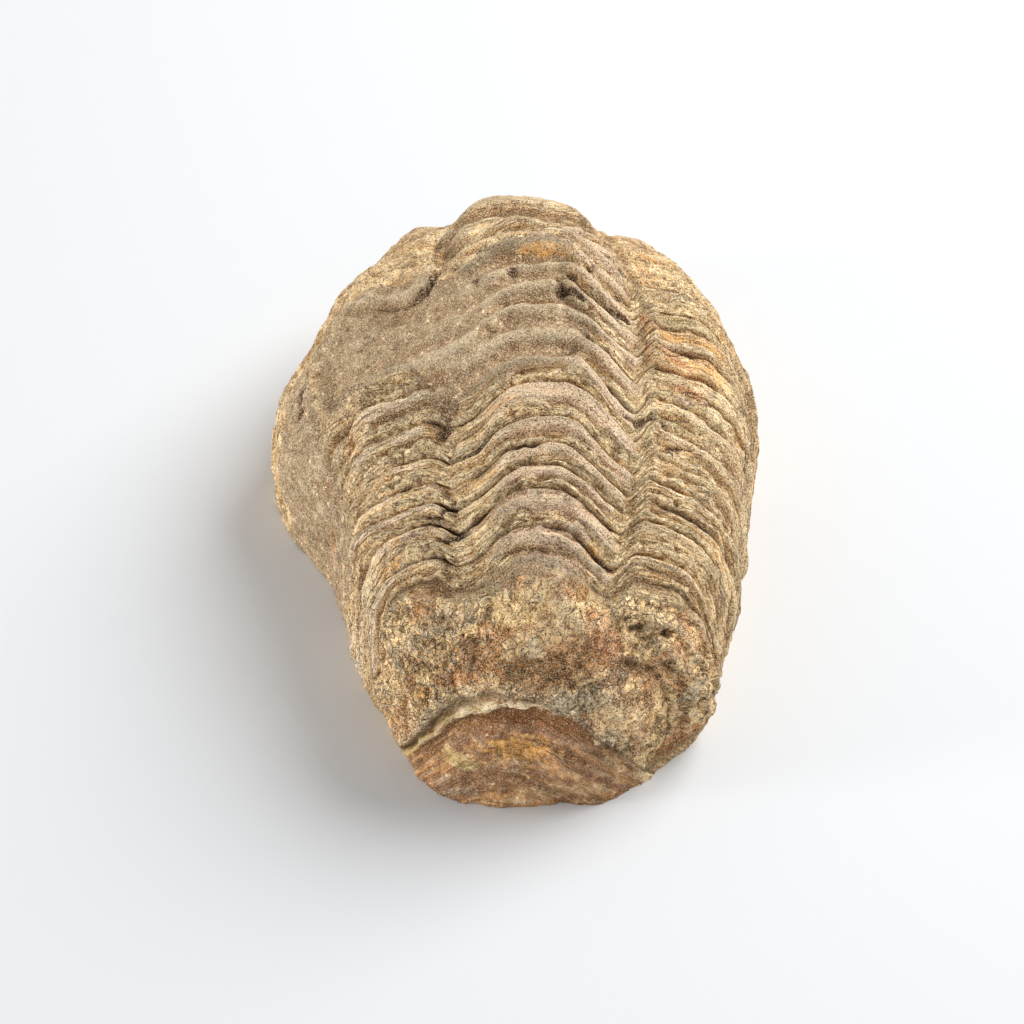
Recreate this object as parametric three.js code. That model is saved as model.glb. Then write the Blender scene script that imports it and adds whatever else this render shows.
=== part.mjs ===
// Trilobite fossil lying on its underside: tail towards -Y, head folded down over the +Y end.
// Millimetres, +Z up, resting on Z = 0.
import * as THREE from 'three'
import { mergeGeometries, mergeVertices } from 'three/addons/utils/BufferGeometryUtils.js'

// Foot outline of the rock around its middle: angle in degrees from +X, radius in mm.
const FOOT_OUTLINE = [
  [0, 27.0], [25, 30.3], [50, 35.0], [75, 38.0], [100, 38.4], [125, 34.0], [150, 28.6], [180, 23.4],
  [205, 22.2], [225, 25.4], [243, 31.2], [254, 36.8], [264, 39.6], [278, 40.0], [292, 38.6], [304, 36.2],
  [318, 31.6], [338, 27.4],
]
const FLANK_HEIGHT = 29.0 // height of the back without the middle lobe
const SQUARENESS = { tail: 2.5, head: 2.7, side: 3.2 } // superellipse exponents of the profiles

// The rings fan out from a line below the ground, so they lean towards the head as they climb.
const CREST_HEIGHT = 35.0 // height at which ring positions are measured
const FAN_DEPTH = 60.0
const SWEEP = { left: 13.0, right: 12.0 } // how far the ribs trail back on the flanks
const AXIS = { x: 3.8, tailShift: 1.0, headShift: 2.4 }
const RING_EDGES = [
  -29.0, -25.6, -21.2, -18.4, -15.6, -12.3, -7.6, -3.6, 1.0, 4.4, 8.0, 10.8, 14.2, 18.0, 22.5, 27.5,
]

const LOBE = { halfWidth: 10.6, tailNarrowing: 2.6, headNarrowing: 0.5, rise: 6.4 }
const FURROW_DEPTH = 0.9
const RING_RISE = 1.3
const RIB = { rise: 0.85, grooveDepth: 0.35 }
const BULGE = { y: 3.6, halfLength: 9.5, rise: 3.7 } // plain rock left on the left flank
const HOLLOW_DEPTH = 1.6
const KNOB = { x: -14.0, y: 19.5, radius: 6.1, rise: 0.7 }
const SHOULDER = { x: 18.5, y: 23.0, radius: 5.5, rise: 0.6 }
const FACE = { top: -44.4, x: 0.5, halfWidth: 12.5, depth: 1.6 } // broken end of the tail
const CRUST_ROUGHNESS = 0.3
const HEAD = { x: 1.5, neckRise: 1.0, lobeRise: 1.6, notchDepth: 0.6, rimRise: 0.8 }
const EYE = { offset: 13.5, ring: 39.0, rise: 1.3 }

const COLUMNS = 44
const TAIL_ROWS = 22
const HEAD_ROWS = 20
const RING_ROWS = [0, 0.3, 0.62, 0.86] // positions of the rows within one ring
const STONE_COLOR = 0xaf9471

const { abs, atan2, cos, exp, floor, hypot, max, min, PI, sin, sqrt } = Math
const clamp = (value, low = 0, high = 1) => min(max(value, low), high)
const step = (start, end, value) => {
  const t = clamp((value - start) / (end - start))
  return t * t * (3 - 2 * t)
}
const bell = (value, centre, width) => exp(-(((value - centre) / width) ** 2))

// Smooth closed curve through the outline points.
function footRadius(angle) {
  const count = FOOT_OUTLINE.length
  const degrees = ((THREE.MathUtils.radToDeg(angle) % 360) + 360) % 360
  const last = FOOT_OUTLINE.findLastIndex(([start]) => start <= degrees)
  const point = (k) => {
    const [a, r] = FOOT_OUTLINE[(k + count) % count]
    return [a + 360 * floor(k / count), r]
  }
  const [[a0, r0], [a1, r1], [a2, r2], [a3, r3]] = [-1, 0, 1, 2].map((k) => point(last + k))
  const span = a2 - a1
  const t = (degrees - a1) / span
  const slope1 = ((r2 - r0) / (a2 - a0)) * span
  const slope2 = ((r3 - r1) / (a3 - a1)) * span
  return (2 * t ** 3 - 3 * t ** 2 + 1) * r1 + (t ** 3 - 2 * t ** 2 + t) * slope1
    + (3 * t ** 2 - 2 * t ** 3) * r2 + (t ** 3 - t ** 2) * slope2
}

// Smooth body without the middle lobe; u and v run from -1 to 1, and the square's edge is the ground line.
function dome(u, v) {
  const p = u * sqrt(1 - (v * v) / 2)
  const q = v * sqrt(1 - (u * u) / 2)
  const plain = atan2(q, p)
  const angle = plain + THREE.MathUtils.degToRad(13) * sin(2 * plain)
  const tilt = (clamp(hypot(p, q)) * PI) / 2
  const power = SQUARENESS.tail * max(-sin(angle), 0) ** 2 + SQUARENESS.head * max(sin(angle), 0) ** 2
    + SQUARENESS.side * cos(angle) ** 2
  const reach = (sin(tilt) ** power + cos(tilt) ** power) ** (-1 / power)
  const radius = footRadius(angle) * sin(tilt) * reach
  return new THREE.Vector3(radius * cos(angle), radius * sin(angle), FLANK_HEIGHT * cos(tilt) * reach)
}

function domeNormal(u, v) {
  const e = 0.001
  const across = dome(clamp(u + e, -1, 1), v).sub(dome(clamp(u - e, -1, 1), v))
  const along = dome(u, clamp(v + e, -1, 1)).sub(dome(u, clamp(v - e, -1, 1)))
  return across.cross(along).normalize()
}

// Where a point lies on the animal: offset from its axis, lateral angle and ring position.
function station({ x, y, z }) {
  const side = x - (AXIS.x - AXIS.tailShift * step(-8, -30, y) - AXIS.headShift * step(5, 32, y))
  const lateral = atan2(abs(side) * 1.4, max(z, 0.01))
  const sweep = (side < 0 ? SWEEP.left : SWEEP.right) * step(0.75, 1.55, lateral)
  return { side, lateral, ring: (y * (CREST_HEIGHT + FAN_DEPTH)) / (z + FAN_DEPTH) + sweep }
}

// The row position v at which column u crosses a given ring position.
function rowAt(u, ring) {
  let [low, high] = [-1, 1]
  for (let k = 0; k < 26; k++) {
    const middle = (low + high) / 2
    if (station(dome(u, middle)).ring < ring) low = middle
    else high = middle
  }
  return (low + high) / 2
}

// A ring rises slowly from its rear edge to a crest, then drops quickly to its front edge.
const scale = (t) => step(0, 0.66, t) * (1 - step(0.8, 1, t))

function lobeWidth(ring) {
  return LOBE.halfWidth - LOBE.headNarrowing * step(5, 30, ring) - LOBE.tailNarrowing * step(-10, -26, ring)
}

function middleLobe({ ring }, across, cover) {
  const clean = 1 - clamp(across) ** (2.5 - step(10, 30, ring))
  const draped = 1 - step(0.55, 1.75, across)
  const length = step(-46, -24, ring) * (1 - 0.74 * step(10, 31, ring)) * (1 - step(34, 50, ring))
  const furrow = bell(across, 1.02, 0.12) * step(-38, -24, ring) * (1 - cover) * (1 - step(26, 30, ring))
  return LOBE.rise * ((1 - cover) * clean + cover * draped) * length - FURROW_DEPTH * furrow
}

function ringsAndRibs({ ring, lateral }, across, cover) {
  const k = clamp(RING_EDGES.findLastIndex((edge) => edge <= ring), 0, RING_EDGES.length - 2)
  const t = clamp((ring - RING_EDGES[k]) / (RING_EDGES[k + 1] - RING_EDGES[k]))
  const thorax = step(-30, -27, ring) * (1 - step(27, 28.5, ring)) * (1 - step(1.38, 1.52, lateral))
  const rings = RING_RISE * scale(t) * (1 - step(0.92, 1.02, across)) * (1 - 0.5 * cover)
  const ribs = (RIB.rise * scale(t) - RIB.grooveDepth * bell(t, 0.42, 0.1)) * step(0.98, 1.1, across)
  return thorax * (rings + ribs * (1 - 0.55 * cover))
}

function rockLeftOn({ x, y, z }, { lateral }, left) {
  const bulge = BULGE.rise * step(0.95, 1.35, lateral) * exp(-(abs((y - BULGE.y) / BULGE.halfLength) ** 3))
  const hollow = HOLLOW_DEPTH * bell(lateral, 0.98, 0.09) * bell(y, -1, 9)
  const knob = KNOB.rise * exp(-((hypot(x - KNOB.x, y - KNOB.y) / KNOB.radius) ** 4))
  const shoulder = SHOULDER.rise * exp(-((hypot(x - SHOULDER.x, y - SHOULDER.y) / SHOULDER.radius) ** 3))
  return left * (bulge - hollow) + (knob + shoulder) * step(5, 15, z)
}

function tailEnd({ x, z }, { ring }) {
  const crust = CRUST_ROUGHNESS * sin(0.9 * x + 0.4 * ring) * sin(1.3 * ring - 0.5 * x)
  const face = step(FACE.top, FACE.top - 1, ring) * exp(-(abs((x - FACE.x) / FACE.halfWidth) ** 6))
  return crust * step(-30, -33, ring) * step(0, 1.5, z) - FACE.depth * face
}

function foldedHead({ x, z }, { ring }) {
  const offset = abs(x - HEAD.x)
  const across = offset / (8.4 - 2.8 * step(32, 50, ring))
  const neck = HEAD.neckRise * bell(ring, 30, 1.3) * (1 - step(8, 10.5, offset))
  const lobe = HEAD.lobeRise * (1 - step(0.7, 1.15, across)) * step(31.5, 33.5, ring)
    * (1 - step(44, 52, ring))
  const notches = HEAD.notchDepth * (bell(ring, 36, 1.1) + bell(ring, 41, 1.1)) * step(0.4, 0.75, across)
    * (1 - step(0.95, 1.2, across))
  const eyes = EYE.rise * exp(-(hypot((offset - EYE.offset) / 2.8, (ring - EYE.ring) / 3.4) ** 3))
  const rim = (HEAD.rimRise * bell(z, 3, 1.5) - 0.6 * bell(z, 6, 1.1)) * step(27, 31, ring)
  return neck + lobe - notches + eyes + rim
}

function surfacePoint(u, v) {
  const point = dome(u, v)
  const place = station(point)
  const across = abs(place.side) / lobeWidth(place.ring)
  const left = step(0, -3, place.side)
  const cover = left * step(-5, 3, place.ring) * (1 - step(14, 17, place.ring))
    * (1 - step(1.9, 2.6, across))
  const relief = middleLobe(place, across, cover) + ringsAndRibs(place, across, cover)
    + rockLeftOn(point, place, left) + tailEnd(point, place) + foldedHead(point, place)
  point.addScaledVector(domeNormal(u, v), relief)
  const onGround = abs(u) === 1 || abs(v) === 1
  return point.setZ(onGround ? 0 : max(point.z, 0.2))
}

// The rows of one column, tail to head: the ring rows follow the rings.
function columnRows(u) {
  const first = rowAt(u, RING_EDGES[0])
  const last = rowAt(u, RING_EDGES.at(-1))
  const tail = Array.from({ length: TAIL_ROWS }, (_, k) => -1 + ((first + 1) * k) / TAIL_ROWS)
  const rings = RING_EDGES.slice(0, -1).flatMap((edge, k) =>
    RING_ROWS.map((t) => rowAt(u, edge + (RING_EDGES[k + 1] - edge) * t)))
  const head = Array.from({ length: HEAD_ROWS + 1 }, (_, k) => last + ((1 - last) * k) / HEAD_ROWS)
  return [...tail, ...rings, ...head]
}

// The back is a plane whose rows run across the animal, head end first.
function makeBack() {
  const columns = Array.from({ length: COLUMNS + 1 }, (_, j) => {
    const u = (2 * j) / COLUMNS - 1
    return columnRows(u).reverse().map((v) => surfacePoint(u, v))
  })
  const cellRows = columns[0].length - 1
  const back = new THREE.PlaneGeometry(2, 2, COLUMNS, cellRows)
  for (let k = 0; k < back.attributes.position.count; k++) {
    const { x, y, z } = columns[k % (COLUMNS + 1)][floor(k / (COLUMNS + 1))]
    back.attributes.position.setXYZ(k, x, y, z)
  }
  // Two of the quarters split their cells the other way, which keeps flat triangles off the ground line.
  for (let cell = 0; cell < COLUMNS * cellRows; cell++) {
    const [a, b, d, , c] = back.index.array.slice(6 * cell)
    const leftHalf = cell % COLUMNS < COLUMNS / 2
    const headHalf = floor(cell / COLUMNS) < cellRows / 2
    if (leftHalf === headHalf) back.index.array.set([a, b, c, a, c, d], 6 * cell)
  }
  return { back, groundLine: groundLineOf(columns) }
}

// Counter-clockwise from above, starting at the tail end's left corner.
function groundLineOf(columns) {
  const headRow = columns.map((column) => column[0]).slice(1)
  const tailRow = columns.map((column) => column.at(-1)).slice(0, -1)
  const rightSide = columns.at(-1).slice(1).reverse()
  const leftSide = columns[0].slice(0, -1)
  return [...tailRow, ...rightSide, ...headRow.reverse(), ...leftSide]
}

function makeRock() {
  const { back, groundLine } = makeBack()
  const mirrored = groundLine.map(({ x, y }) => new THREE.Vector2(x, -y))
  const underside = new THREE.ShapeGeometry(new THREE.Shape(mirrored)).rotateX(PI)
  for (const piece of [back, underside]) {
    piece.deleteAttribute('normal')
    piece.deleteAttribute('uv')
  }
  const rock = mergeVertices(mergeGeometries([back, underside]), 0.001)
  rock.computeBoundingBox()
  const centre = rock.boundingBox.getCenter(new THREE.Vector3())
  rock.translate(-centre.x, -centre.y, 0)
  rock.computeVertexNormals()
  return rock
}

const stone = new THREE.MeshStandardMaterial({ color: STONE_COLOR, roughness: 0.9, metalness: 0 })
stone.name = 'stone'
const trilobite = new THREE.Mesh(makeRock(), stone)
trilobite.name = 'trilobite_fossil'

const group = new THREE.Group()
group.add(trilobite)

export default group
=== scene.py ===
import itertools
import math

import bmesh
import bpy
import numpy as np
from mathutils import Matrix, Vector


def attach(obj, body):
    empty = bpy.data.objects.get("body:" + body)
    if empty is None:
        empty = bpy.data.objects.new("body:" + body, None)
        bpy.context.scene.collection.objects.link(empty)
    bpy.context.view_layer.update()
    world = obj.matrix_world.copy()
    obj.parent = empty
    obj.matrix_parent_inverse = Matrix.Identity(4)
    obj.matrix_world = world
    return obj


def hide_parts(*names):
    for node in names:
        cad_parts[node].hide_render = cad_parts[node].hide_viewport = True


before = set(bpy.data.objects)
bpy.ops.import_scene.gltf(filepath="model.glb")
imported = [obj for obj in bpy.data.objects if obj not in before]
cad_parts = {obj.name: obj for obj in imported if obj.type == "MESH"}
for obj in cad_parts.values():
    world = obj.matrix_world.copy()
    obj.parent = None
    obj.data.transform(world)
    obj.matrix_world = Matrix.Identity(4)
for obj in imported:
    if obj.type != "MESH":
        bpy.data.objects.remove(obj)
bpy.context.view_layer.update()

# ====================================================================================================
# The stone: one piece of limestone that holds a whole trilobite, lying on its flat underside, back up.
# Its form is a low cap, in millimetres, with the lobes, the rings and the rock left on it raised along
# its normal. The shell survives as smooth lips, with crumbly sand packed into the joints behind them.

MM = 0.001
PLACE = np.array([0.296, -0.486, 0.0])

# The cap. Its foot outline is (degrees from the right, radius), and the rings fan out from under it.
FOOT_OUTLINE = [
    (0, 27.0), (25, 30.3), (50, 35.0), (75, 38.0), (100, 38.4), (125, 34.0), (150, 28.6), (180, 23.4),
    (205, 22.2), (225, 25.4), (243, 31.2), (254, 36.8), (264, 39.6), (278, 40.0), (292, 38.6),
    (304, 36.2), (318, 31.6), (338, 27.4),
]
FLANK_HEIGHT = 29.0
SQUARENESS = {"tail": 2.5, "head": 2.7, "side": 3.2}
CREST_HEIGHT = 35.0
FAN_DEPTH = 60.0
LEAN_STRETCH = 1.4
SWEEP = {"left": 13.0, "right": 12.0}
ACROSS_PER_TURN = 24.0

# What is raised on the cap, or cut into it.
LOBE_HEIGHT = 6.4
LOBE_HALF_WIDTH = 10.6
LIP_HEIGHT = 1.3
RIB_HEIGHT = 0.95
BAR_HEIGHT = 0.8
BULGE_HEIGHT = 3.2
KNOB_HEIGHT = 1.5
CRUMB_HEIGHT = 1.1
PLATE_THICKNESS = 0.25
TAIL_FACE_HEIGHT = 16.4
TAIL_FACE_MIDDLE = -0.5
CRACK_DEPTH = 1.3
CRACKS_WORN_TO = 0.75

# The joints between the rings, from tail to head, where they cross the crest.
RING_EDGES = [
    -29.0, -25.6, -21.2, -18.4, -15.6, -12.3, -7.6, -3.6, 1.0, 4.4, 8.0, 10.8, 14.2, 18.0, 22.5, 27.5,
]

# The mesh: columns from left to right, and rows from tail to head.
COLUMNS = 236
TAIL_ROWS = 80
RING_ROWS = 18
HEAD_ROWS = 36


def ease(low, high, value):
    """0 below low, 1 above high, smooth between; works downwards too"""
    part = np.clip((value - low) / (high - low), 0, 1)
    return part * part * (3 - 2 * part)


def ridge(value, middle, width):
    """1 at the middle, falling off smoothly on both sides"""
    return np.exp(-(((value - middle) / width) ** 2))


THIRTY_TWO_BITS = 0xFFFFFFFF
TEN_BITS = 1023


def scatter(cell, seed):
    """a seeded jumble of whole numbers, one for each cell"""
    mix = cell[..., 0] * 374761393 + cell[..., 1] * 668265263 + cell[..., 2] * 1440662683 + seed * 40503
    for shift, factor in ((13, 1274126177), (15, 2246822519)):
        mix = mix & THIRTY_TWO_BITS
        mix = (mix ^ (mix >> shift)) * factor
    mix = mix & THIRTY_TWO_BITS
    return mix ^ (mix >> 16)


def three_parts(mix):
    """three numbers from 0 to TEN_BITS out of each whole number"""
    return np.stack([mix & TEN_BITS, (mix >> 10) & TEN_BITS, (mix >> 20) & TEN_BITS], -1)


def rough(points, size, seed):
    """seeded soft noise from about -1 to 1, its bumps size mm across: one number, or one a direction"""
    place = points / np.asarray(size, float) + 13.7 + seed * 7.31
    cell = np.floor(place).astype(np.int64)
    part = place - cell
    blend = part**3 * (part * (part * 6 - 15) + 10)
    total = 0.0
    for corner in itertools.product((0, 1), repeat=3):
        mix = scatter(cell + corner, seed)
        slope = three_parts(mix) / (TEN_BITS / 2) - 1
        weight = np.prod(np.where(np.array(corner) == 1, blend, 1 - blend), axis=-1)
        total = total + weight * np.sum(slope * (part - corner), axis=-1)
    return total * 1.5


def crumble(points, size, seed, layers=3):
    """rough in several sizes, each half the last"""
    total = 0.0
    for layer in range(layers):
        total = total + rough(points, np.asarray(size, float) / 2**layer, seed + 11 * layer) * 0.5**layer
    return total / 1.5


def blocks(points, size, seed):
    """broken blocks about size mm across: heights up to 1, down to 0 in the cracks between them"""
    place = points / size + 0.3 * rough(points, size, seed)[..., None] + seed * 3.7
    cell = np.floor(place).astype(np.int64)
    nearest = np.full(place.shape[:-1], 9.0)
    second = nearest.copy()
    height = np.zeros_like(nearest)
    for step in itertools.product((-1, 0, 1), repeat=3):
        mix = scatter(cell + step, seed)
        middle = cell + step + three_parts(mix) / TEN_BITS
        distance = np.linalg.norm(place - middle, axis=-1)
        closer = distance < nearest
        second = np.where(closer, nearest, np.minimum(second, distance))
        height = np.where(closer, (mix >> 5 & 255) / 255, height)
        nearest = np.minimum(nearest, distance)
    return (0.25 + 0.75 * height) * np.clip((second - nearest) / 0.25, 0, 1)


def chips(points, size, seed, levels):
    """plates with broken edges, one on another: how many lie at each point, less half of all"""
    height = crumble(points, size, seed, 4)
    return sum(ease(level - 0.025, level + 0.025, height) for level in levels) - len(levels) / 2


def foot_radius(degrees):
    """the foot outline's radius at each angle: a smooth curve through its points"""
    angles = np.array([a for a, _ in FOOT_OUTLINE], float)
    radii = np.array([r for _, r in FOOT_OUTLINE], float)
    count = len(angles)
    degrees = np.mod(degrees, 360)
    i = np.searchsorted(angles, degrees, side="right") - 1

    def angle(k):
        return angles[k % count] + 360 * np.floor_divide(k, count)

    step = angle(i + 1) - angle(i)
    t = (degrees - angle(i)) / step
    before, here, there, beyond = (radii[(i + k) % count] for k in (-1, 0, 1, 2))
    start = (there - before) / (angle(i + 1) - angle(i - 1)) * step
    end = (beyond - here) / (angle(i + 2) - angle(i)) * step
    return ((2 * t**3 - 3 * t**2 + 1) * here + (t**3 - 2 * t**2 + t) * start
            + (3 * t**2 - 2 * t**3) * there + (t**3 - t**2) * end)


def cap(u, v):
    """the bare cap: u and v from -1 to 1 across and along, as a point in mm"""
    p = u * np.sqrt(1 - v * v / 2)
    q = v * np.sqrt(1 - u * u / 2)
    heading = np.arctan2(q, p)
    heading = heading + math.radians(13) * np.sin(2 * heading)
    drop = np.clip(np.hypot(p, q), 0, 1) * math.pi / 2
    tail = np.clip(-np.sin(heading), 0, 1) ** 2
    head = np.clip(np.sin(heading), 0, 1) ** 2
    square = SQUARENESS["tail"] * tail + SQUARENESS["head"] * head + SQUARENESS["side"] * np.cos(heading) ** 2
    out, up = np.sin(drop), np.cos(drop)
    swell = (out**square + up**square) ** (-1 / square)
    radius = foot_radius(np.degrees(heading)) * out * swell
    return np.stack([radius * np.cos(heading), radius * np.sin(heading), FLANK_HEIGHT * up * swell], -1)


def cap_normal(u, v):
    """the bare cap's outward normal"""
    step = 0.001
    west, east = np.clip(u - step, -1, 1), np.clip(u + step, -1, 1)
    south, north = np.clip(v - step, -1, 1), np.clip(v + step, -1, 1)
    normal = np.cross(cap(east, v) - cap(west, v), cap(u, north) - cap(u, south))
    return normal / np.maximum(np.linalg.norm(normal, axis=-1, keepdims=True), 1e-12)


def middle_line(y):
    """the x of the middle lobe's crest, which bends a little to the left towards both ends"""
    return 3.8 - 1.0 * ease(-8, -30, y) - 2.4 * ease(5, 32, y)


def stations(points):
    """mm from the middle line, lean from the crest (0) to the ground (a quarter turn), mm along the back"""
    x, y, z = points[..., 0], points[..., 1], points[..., 2]
    offset = x - middle_line(y)
    lean = np.arctan2(np.abs(offset) * LEAN_STRETCH, np.maximum(z, 0.01))
    along = y * (CREST_HEIGHT + FAN_DEPTH) / (z + FAN_DEPTH)
    sweep = np.where(offset < 0, SWEEP["left"], SWEEP["right"])
    return offset, lean, along + sweep * ease(0.75, 1.55, lean)


def joints(points):
    """where the joint through each point crosses the crest, in mm along the back

    A joint bends back on the sides of the middle lobe, forward again over the side lobes, and sweeps
    back down the flanks.
    """
    offset, lean, along = stations(points)
    sweep = np.where(offset < 0, SWEEP["left"], SWEEP["right"])
    late = 0.75 + 0.2 * ease(-24, -16, along)
    arm = lean * ACROSS_PER_TURN
    bent = along + sweep * (ease(late, 1.55, lean) - ease(0.75, 1.55, lean))
    right_back = (2.6 + 1.9 * ease(-26, -14, along)) * ease(1.5, 9.8, arm) * (1 - ease(9.8, 13.0, arm))
    back = np.where(offset < 0, 2.3 * ease(2.5, 9.5, arm) * (1 - ease(10.5, 14.0, arm)), right_back)
    bent = bent + back * ease(-38, -30, along) * (1 - ease(22, 28, along))
    return bent - 2.6 * ease(13, 20, arm) * ease(-8, 8, along)


def rows_at(u, goal):
    """the v at which the joint that crosses the crest at goal passes through each u, by halving"""
    low, high = np.full(u.shape, -1.0), np.full(u.shape, 1.0)
    for _ in range(26):
        middle = (low + high) / 2
        short = joints(cap(u, middle)) < goal
        low, high = np.where(short, middle, low), np.where(short, high, middle)
    return (low + high) / 2


def wander(points):
    """the joints between the rings never run quite true"""
    return 0.45 * rough(points, (14, 9, 9), 3) + 0.26 * rough(points, 2.8, 5) + 0.13 * rough(points, 1.2, 7)


# The rows of the mesh follow the joints, so that each crack falls on an edge.
ring_of_row = []
part_of_row = []
for ring in range(len(RING_EDGES) - 1):
    for step in range(RING_ROWS):
        ring_of_row.append(ring)
        part_of_row.append(step / RING_ROWS)
ring_of_row.append(len(RING_EDGES) - 2)
part_of_row.append(1.0)
edges = np.array(RING_EDGES)
ring_length = np.diff(edges)
goal = edges[ring_of_row] + ring_length[ring_of_row] * np.array(part_of_row)
spread = np.linspace(-1, 1, COLUMNS + 1)
u_thorax, goal = np.meshgrid(spread, goal)
v_thorax = rows_at(u_thorax, goal)
v_thorax = rows_at(u_thorax, goal - wander(cap(u_thorax, v_thorax)))
share = np.linspace(0, 1, TAIL_ROWS + 1)[:-1, None]
v_tail = -1 + (v_thorax[:1] + 1) * share
share = np.linspace(0, 1, HEAD_ROWS + 1)[1:, None]
v_head = v_thorax[-1:] + (1 - v_thorax[-1:]) * share
v_all = np.concatenate([v_tail, v_thorax, v_head])
ROWS = len(v_all) - 1
u_all = np.repeat(spread[None], ROWS + 1, 0)
ring = np.concatenate([np.zeros(TAIL_ROWS, int), ring_of_row, np.full(HEAD_ROWS, ring_of_row[-1])])[:, None]
part = np.concatenate([np.zeros(TAIL_ROWS), part_of_row, np.ones(HEAD_ROWS)])[:, None]

# Where each point lies. Offset and across are 0 on the crest and negative on the left, reach is 1 at the edge
# of the middle lobe, along and joint run from tail to head, and part runs from 0 to 1 over each ring.
bare = cap(u_all, v_all)
outward = cap_normal(u_all, v_all)
x, y, z = bare[..., 0], bare[..., 1], bare[..., 2]
offset, lean, along = stations(bare)
joint = joints(bare) + wander(bare)
side = np.sign(offset)
across = side * lean * ACROSS_PER_TURN
left = ease(0, -3, offset)
half_width = LOBE_HALF_WIDTH - 0.5 * ease(5, 30, along) - 2.6 * ease(-10, -26, along)
reach = np.abs(offset) / half_width
length = ring_length[ring]
surface = np.stack([across, joint, np.zeros_like(joint)], -1)

# The three lobes, and the rock that fills the left furrow.
cover = left * ease(-9, -3, along) * (1 - ease(14, 17, along)) * (1 - ease(1.9, 2.6, reach))
firm = 1 - np.clip(reach, 0, 1) ** (2.5 - 1.0 * ease(10, 30, along))
worn_down = 1 - ease(0.05, 1.5, reach)
keen = np.maximum(ease(8, 18, along), 0.4 * ease(0, 3, offset))
lobe = (1 - cover) * (worn_down + (firm - worn_down) * keen) + cover * (1 - ease(0.45, 1.75, reach))
lobe = LOBE_HEIGHT * lobe * ease(-46, -24, along)
lobe = lobe * (1 - 0.74 * ease(10, 31, along)) * (1 - ease(34, 50, along))
groove = ridge(reach, 1.04, 0.14) * ease(-38, -24, along) * (1 - cover) * (1 - ease(26, 30, along))
relief = lobe + groove * np.where(offset < 0, -0.3, 0.5)

# Where rock still hides the rings: a soft drape over the upper left of the back, and a thick cover on both
# shoulders and the bulge of the left flank.
edge_noise = rough(bare, 4.0, 25)
drape_start = -5.2 + 4.5 * ease(-12, -16, across)
ragged_joint = joint + edge_noise
draped = ease(drape_start - 1.2, drape_start + 1.2, ragged_joint) * (1 - ease(12, 14.5, ragged_joint))
drape_side = across - 2.5 * ridge(along, 1, 4) + edge_noise
draped = draped * ease(-28, -24, across + 1.5 * edge_noise) * (1 - ease(1.0, 4.0, drape_side))
left_shoulder = ease(-9, -12, across + edge_noise) * ease(9.0, 12.0, ragged_joint)
right_shoulder = 0.8 * ease(8, 11, across + edge_noise) * ease(13.5, 16, ragged_joint)
left_bulge = ease(-24.5, -27, across) * ease(-20, -10, y)
buried = np.maximum(np.maximum(left_shoulder, left_bulge), right_shoulder)
bare_rings = (1 - buried) * (1 - draped)

# The rings, each a lip that rises slowly from its tail edge and falls off quickly at its head edge.
thorax = ease(-31, -26, joint + 1.2 * edge_noise) * (1 - ease(27, 28.5, joint))
uneven = reach + 0.12 * rough(bare, 3.5, 15)
worn_left = left * ease(2, -6, joint)
axial = 1 - ease(0.76 - 0.36 * worn_left, 0.98 - 0.2 * worn_left, uneven)
worn_low = ease(-19.5, -22.5, joint)
flank = ease(1.08, 1.28, uneven)
foot = 1 - ease(1.38, 1.52, lean)
lip = ease(0.05, 0.6, part) * (1 - ease(0.82, 1, part))
soft = np.sin(math.pi * np.clip(part, 0, 1) ** 1.4) ** 2
kept = np.clip(0.9 + 1.0 * rough(surface, (8, 3.5, 1), 17), 0.2, 1.4)
bars = ease(0.8, 1.2, joint) * ease(11.0, 10.6, joint) * ease(11.2, 12.4, across) * (1 - ease(19, 24, across))
rib = ease(0.1, 0.7, part) * (1 - ease(0.86, 1, part))
step_down = ease(0.0, 0.12, part) * (1 - ease(0.3, 0.36, part))
ring_lips = LIP_HEIGHT * (lip + (0.75 * soft - lip) * worn_low) * kept * (1 - draped) * axial
hidden_rings = (0.05 + 0.9 * ease(-12, -5, across)) * soft * draped
side_ribs = (RIB_HEIGHT * rib * kept + 0.25 * step_down) * flank * (1 - draped) * (1 - bars)
flat_bars = BAR_HEIGHT * bars * ease(0.02, 0.12, part) * (1 - ease(0.93, 0.99, part))
relief += thorax * foot * (1 - buried) * (ring_lips + hidden_rings + side_ribs + flat_bars)


def knob(cx, cy, wide, deep):
    """a flat-topped round lump, seen from above"""
    return np.exp(-((((x - cx) / wide) ** 2 + ((y - cy) / deep) ** 2) ** 1.5))


# Rock left on the fossil, the worn hollow beside it, and the broken tail end.
relief += BULGE_HEIGHT * ease(0.95, 1.35, lean) * left * np.exp(-(np.abs((y - 5.4) / 8.6) ** 3))
relief -= 1.6 * left * ridge(lean, 0.98, 0.09) * np.exp(-(((y + 1) / 9) ** 2))
knob_edge = np.interp(across, [-24, -19, -16, -14, -12.4], [17.5, 13.4, 11.4, 10.3, 13.0])
knob_edge = knob_edge + 0.4 * rough(bare, 2.0, 19)
knob_top = ease(-0.25, 0.35, along - knob_edge) * ease(-11.5, -13.5, across) * (1 - ease(18, 27, along))
relief += KNOB_HEIGHT * knob_top * (1 - ease(-20, -24, across))
relief += 0.6 * knob(18.5, 23, 5, 6) * ease(5, 15, z)
relief += 0.5 * knob(19.5, -28.5, 3, 3) * ease(0, 3, z)
relief -= 0.5 * knob(-15.5, -29.6, 4, 4) * (1 - ease(3, 12, z))
relief -= 1.0 * knob(13.5, -31, 5, 6) * (1 - ease(2, 13, z))
relief -= (0.5 * ridge(along, 25, 5) + 0.7 * ridge(along, 34, 5)) * (1 - ease(8, 12, np.abs(offset)))
from_middle = x - TAIL_FACE_MIDDLE
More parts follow.
